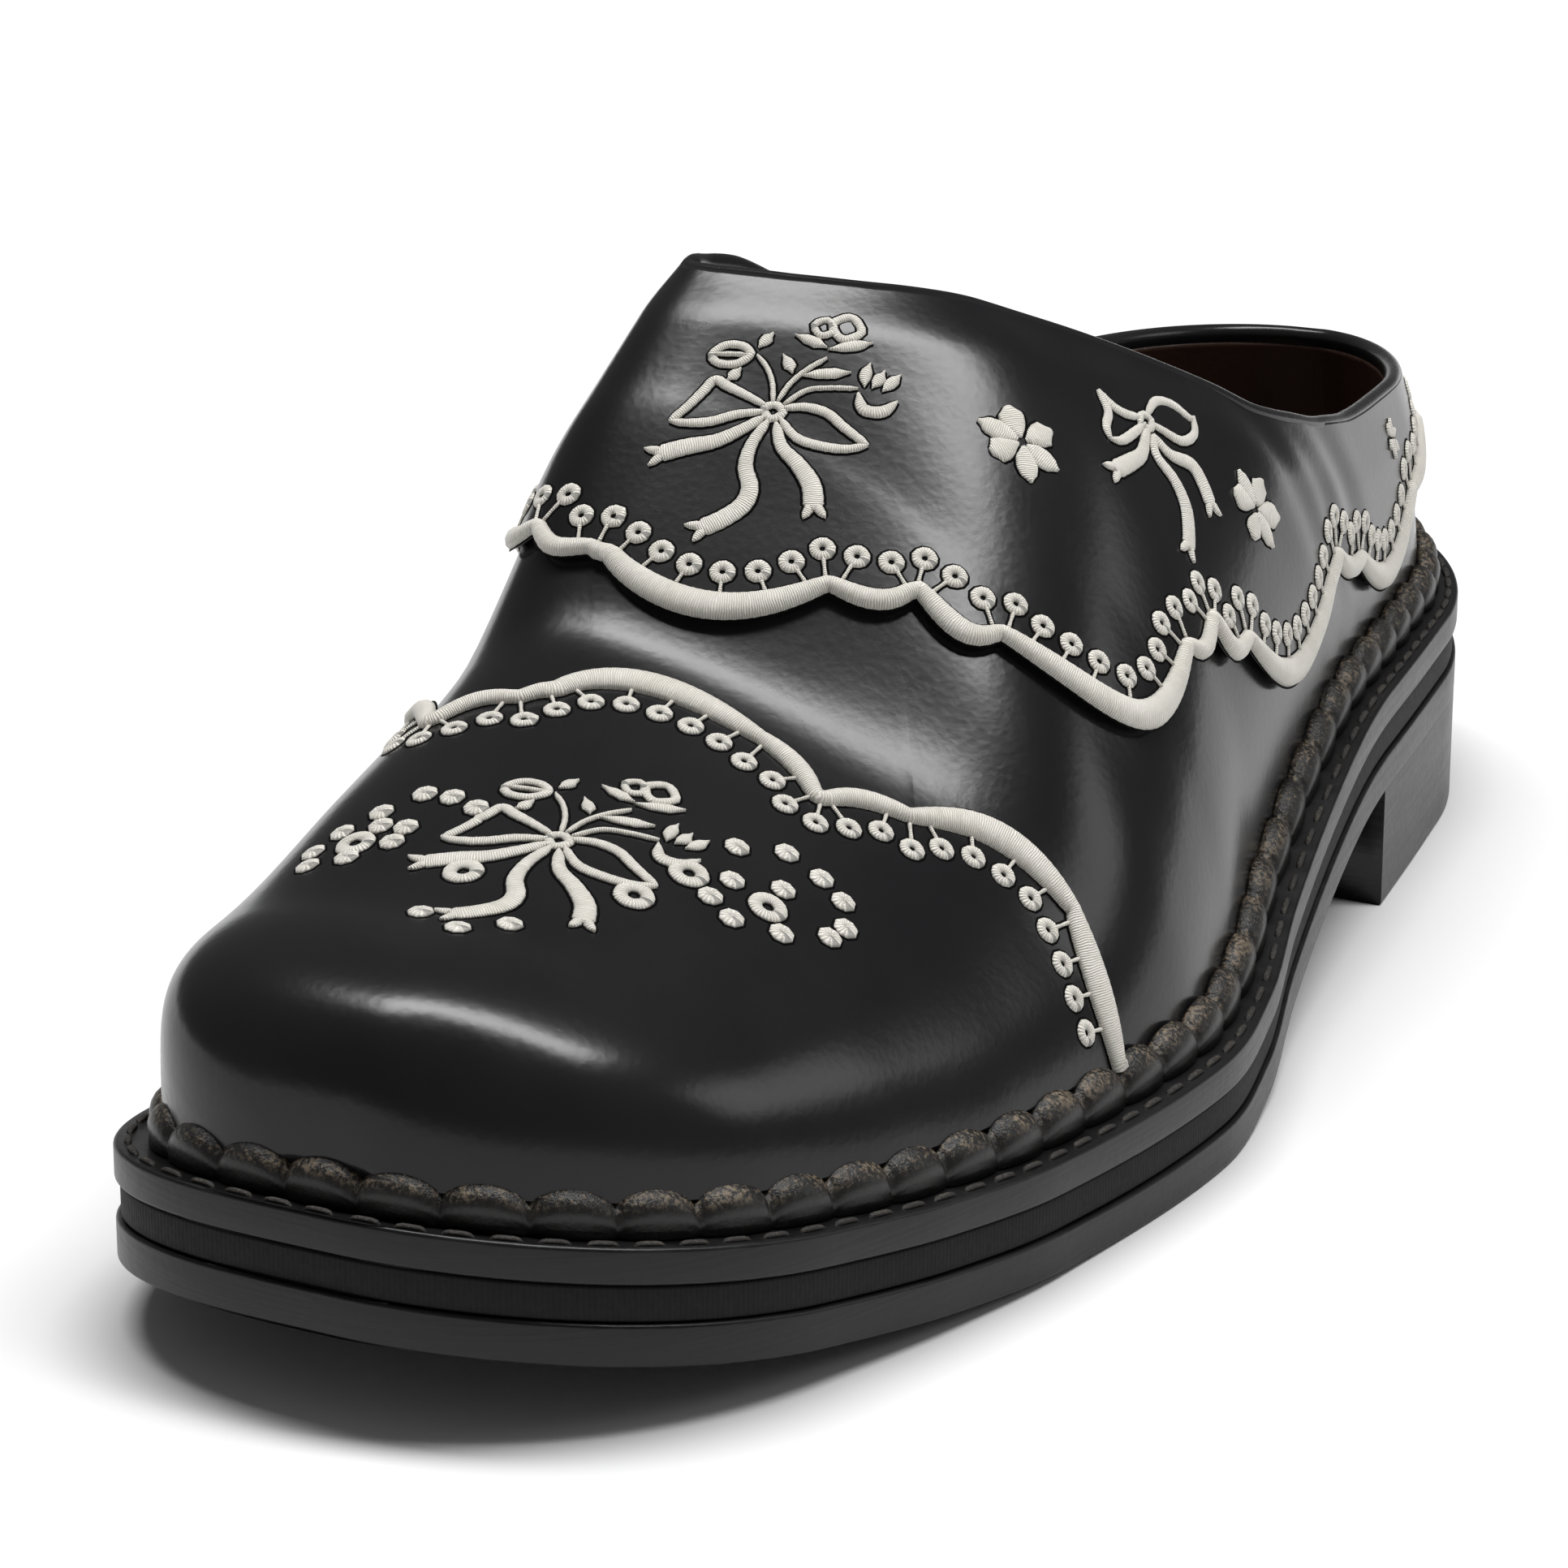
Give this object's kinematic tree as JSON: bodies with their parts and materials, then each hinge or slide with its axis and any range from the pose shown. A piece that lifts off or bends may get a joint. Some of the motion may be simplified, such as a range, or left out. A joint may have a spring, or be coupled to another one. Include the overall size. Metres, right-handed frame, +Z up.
{
  "type": "babouche slipper",
  "caption": "Square-toed leather slip-on with a low closed back, scalloped toe cap and quarters, a scalloped storm rib on a layered sole and a low block heel.",
  "frame": {"origin": "on the floor, midway along the length and midway across the width of the sole", "axes": "+Z up, +Y from the toe towards the heel, +X towards the lateral side (this is the wearer's left shoe)"},
  "size_m": [0.0984, 0.2706, 0.0928],
  "materials": {
    "outsole": "satin",
    "heel_block": "satin",
    "midsole": "matte",
    "welt": "satin",
    "welt_rib": "matte",
    "insole": "satin",
    "upper": "polished",
    "toe_cap": "polished",
    "quarter_overlay": "polished"
  },
  "bodies": {
    "root": {"outsole": "outsole", "heel_block": "heel_block", "midsole": "midsole", "welt": "welt", "welt_rib": "welt_rib", "insole": "insole", "upper": "upper", "toe_cap": "toe_cap", "quarter_overlay": "quarter_overlay"}
  },
  "joints": []
}
